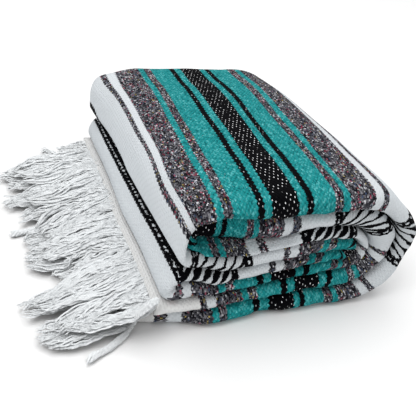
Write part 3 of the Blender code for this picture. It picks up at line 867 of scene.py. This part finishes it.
def finishMaterial(w, shader, look, colour, relief):
    w.put(shader.inputs["Base Color"], colour)
    for name, value in look["shader"].items():
        shader.inputs[name].default_value = value
    bump = w.node("ShaderNodeBump")
    for name, value in look["bump"].items():
        bump.inputs[name].default_value = value
    w.put(bump.inputs["Height"], relief)
    w.put(shader.inputs["Normal"], bump.outputs[0])


colours = {
    "teal": (0.014, 0.255, 0.262), "tealDark": (0.002, 0.09, 0.10), "tealLight": (0.13, 0.52, 0.53),
    "black": (0.002, 0.002, 0.003), "white": (0.61, 0.645, 0.67), "whitePatch": (0.55, 0.57, 0.60),
    "cream": (0.72, 0.72, 0.71), "dot": (0.80, 0.81, 0.82),
}
# The mixed yarn's flecks: from black to light grey, then a few of red, blue, pink and yellow
greyFlecks = [(0.0, (0.008, 0.008, 0.011)), (0.28, (0.034, 0.034, 0.042)), (0.47, (0.088, 0.088, 0.102)),
              (0.69, (0.175, 0.173, 0.19)), (0.85, (0.50, 0.50, 0.53)), (0.915, (0.20, 0.022, 0.045)),
              (0.943, (0.045, 0.070, 0.13)), (0.965, (0.32, 0.09, 0.13)), (0.985, (0.32, 0.25, 0.08))]
# Sizes in metres. In greyShade, the painted crevice shade and beads, a fixed part and what a mask adds to it
clothLook = {
    "fuzz": 0.004, "steppedShare": 0.45, "fleck": (0.00118, 0.0016), "fleckStray": 0.003, "patches": 0.2,
    "tealLuck": 0.45, "tealStops": (0.40, 0.62), "greyShare": 0.7, "greyShade": (0.6, 0.8), "tealDots": 0.10,
    "greyDots": 0.25, "dotFade": (-0.05, 0.45), "creviceShade": (0.08, 0.35), "beads": (0.55, 0.45), "fluff": 0.4,
    "shader": {"Roughness": 0.95, "Specular IOR Level": 0.02, "Sheen Weight": 0.01, "Sheen Roughness": 0.6},
    "bump": {"Strength": 0.8, "Distance": 0.0009},
}


def clothMaterial():
    material, w, shader = startMaterial("serape_cloth")
    look = clothLook

    def paint(name):
        return (*colours[name], 1)

    def sumOf(name, mask):
        return w.math("ADD", look[name][0], w.math("MULTIPLY", mask, look[name][1]))

    uv = w.node("ShaderNodeUVMap", uv_map="cloth").outputs[0]
    u, v, _ = w.parts(uv)
    beads = placeGroup(w, weaveTree, Cloth=uv)
    fluff = placeGroup(w, fluffTree, Place=uv)
    fuzz = w.math("MULTIPLY", w.math("SUBTRACT", fluff["Fluff"], 0.5), look["fuzz"])
    stepped = w.blend(look["steppedShare"], beads["Along"], u)
    kind = placeGroup(w, stripesTree, Along=w.math("ADD", stepped, fuzz), Fine_Along=w.math("ADD", u, fuzz),
                      Fine_Across=v)
    bead = w.node("ShaderNodeSeparateColor")
    w.put(bead.inputs[0], beads["Bead"])
    luck, luck2, _ = bead.outputs
    fleck = w.node("ShaderNodeTexWhiteNoise", noise_dimensions="2D")
    shifted = w.math("ADD", v, w.math("MULTIPLY", luck, look["fleckStray"]))
    w.put(fleck.inputs["Vector"], w.vector(*(w.math("FLOOR", w.math("DIVIDE", place, size))
                                             for place, size in zip((u, shifted), look["fleck"]))))
    flecks = fleck.outputs["Value"]

    white = w.mix(kind["Cream"], paint("white"), paint("cream"))
    white = w.mix(w.math("MULTIPLY", fluff["Patches"], look["patches"]), white, paint("whitePatch"))
    low, high = look["tealStops"]
    teal = w.ramp(w.blend(look["tealLuck"], luck, flecks),
                  [(0.0, colours["tealDark"]), (low, colours["teal"]), (high, colours["teal"]),
                   (1.0, colours["tealLight"])], constant=False)
    grey = w.mix(look["greyShare"], w.ramp(flecks, greyFlecks), sumOf("greyShade", luck2), "MULTIPLY")
    colour = w.mix(kind["Teal"], white, teal)
    colour = w.mix(kind["Grey"], colour, grey)
    colour = w.mix(kind["Black"], colour, paint("black"))

    notFloats = w.oneLess(kind["Floats"])
    dyed = w.math("ADD", kind["Black"], w.math("ADD", kind["Teal"], kind["Grey"]), clamp=True)
    dotOdds = w.math("ADD", kind["Dotted"], w.math("MULTIPLY", kind["Teal"], look["tealDots"]))
    dotOdds = w.math("ADD", dotOdds, w.math("MULTIPLY", kind["Grey"], look["greyDots"]))
    warpShows = placeGroup(w, warpTree, Cloth=uv)
    dotOdds = w.smooth(w.math("SUBTRACT", dotOdds, warpShows["Luck"]), *look["dotFade"])
    dots = w.math("MULTIPLY", w.math("MULTIPLY", warpShows["Dot"], dotOdds), notFloats)
    colour = w.mix(dots, colour, paint("dot"))
    # Painted shade: the colour is darkened in the hollows between the weave's beads, where their height
    # falls, and more on dyed yarns
    creviceShade = w.oneLess(w.math("MULTIPLY", w.oneLess(beads["Height"]), sumOf("creviceShade", dyed)))
    colour = w.mix(w.oneLess(dots), colour, creviceShade, "MULTIPLY")

    ribs = w.math("ABSOLUTE", w.math("SINE", w.math("MULTIPLY", u, math.pi / weaveLook["pick"])))
    beadShare = w.math("MULTIPLY", sumOf("beads", dyed), notFloats)
    relief = w.math("ADD", w.math("MULTIPLY", beads["Height"], beadShare),
                    w.math("MULTIPLY", ribs, w.oneLess(beadShare)))
    relief = w.math("ADD", relief, w.math("MULTIPLY", fluff["Fluff"], look["fluff"]))
    finishMaterial(w, shader, look, colour, relief)
    return material


fringeLook = {
    "yarn": (0.8, 0.835, 0.855), "patch": (0.755, 0.79, 0.81), "shade": (0.71, 0.745, 0.765),
    "patches": 0.5, "shadeFrom": (0.62, 0.8), "fluffScale": 1400.0, "twistAlong": 0.0042,
    "twistAround": 0.0035, "twist": 0.4,
    "shader": {"Roughness": 0.95, "Specular IOR Level": 0.12, "Sheen Weight": 0.5, "Sheen Roughness": 0.6,
               "Subsurface Weight": 0.5, "Subsurface Radius": (1.0, 1.0, 1.0), "Subsurface Scale": 0.004},
    "bump": {"Strength": 0.5, "Distance": 0.0005},
}


def fringeMaterial():
    material, w, shader = startMaterial("fringe_yarn")
    look = fringeLook
    yarnPaint, patchPaint, shadePaint = ((*look[name], 1) for name in ("yarn", "patch", "shade"))
    uv = w.node("ShaderNodeUVMap", uv_map="yarn").outputs[0]
    u, v, _ = w.parts(uv)
    fluff = placeGroup(w, fluffTree, Place=uv, Scale=look["fluffScale"])
    twist = w.math("SINE", w.math("ADD", w.math("MULTIPLY", u, 2 * math.pi / look["twistAlong"]),
                                  w.math("MULTIPLY", v, 2 * math.pi / look["twistAround"])))
    colour = w.mix(w.math("MULTIPLY", fluff["Patches"], look["patches"]), yarnPaint, patchPaint)
    colour = w.mix(w.smooth(fluff["Fluff"], *look["shadeFrom"]), colour, shadePaint)
    relief = w.math("ADD", w.math("MULTIPLY", twist, look["twist"]), fluff["Fluff"])
    finishMaterial(w, shader, look, colour, relief)
    return material


cloth.data.materials.append(clothMaterial())
fringeYarn = fringeMaterial()
for piece in fringePieces.values():
    piece.data.materials.append(fringeYarn)
print("materials made")

# What each piece stands for
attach(cloth, "root")
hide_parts("folded_core", "outer_stretch", "lower_left_fold", "end_band_upper", "end_band_lower")
for name, piece in fringePieces.items():
    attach(piece, "root")
    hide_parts(fringes[name]["node"])

# The floor and soft light. Each lamp: its place and size in metres, and its power in watts
studio = {"floor": 6.0, "floorColour": (0.86, 0.86, 0.86), "floorRough": 0.9, "world": 0.70,
          "aim": (0, 0, 0.05),
          "lamps": (("key", (-1.0, -0.5, 1.9), 1.2, 15), ("fill", (1.3, -0.9, 1.4), 1.4, 2.5),
                    ("top", (0.1, 0.4, 2.0), 1.6, 18))}


def makeStudio():
    bm = bmesh.new()
    bmesh.ops.create_grid(bm, x_segments=1, y_segments=1, size=studio["floor"])
    floor = meshPiece("floor", bm)
    paint, _, shader = startMaterial("floor_paint")
    shader.inputs["Base Color"].default_value = (*studio["floorColour"], 1)
    shader.inputs["Roughness"].default_value = studio["floorRough"]
    floor.data.materials.append(paint)
    world = bpy.data.worlds.new("studio")
    world.use_nodes = True
    sky = world.node_tree.nodes["Background"]
    sky.inputs["Color"].default_value = (1, 1, 1, 1)
    sky.inputs["Strength"].default_value = studio["world"]
    bpy.context.scene.world = world
    for name, spot, size, power in studio["lamps"]:
        lamp = addToScene(bpy.data.objects.new(name, bpy.data.lights.new(name, "AREA")))
        lamp.data.energy = power
        lamp.data.size = size
        lamp.location = spot
        lamp.rotation_euler = (Vector(studio["aim"]) - Vector(spot)).to_track_quat("-Z", "Y").to_euler()


makeStudio()
bpy.context.scene.view_settings.view_transform = "Standard"
print("studio made")
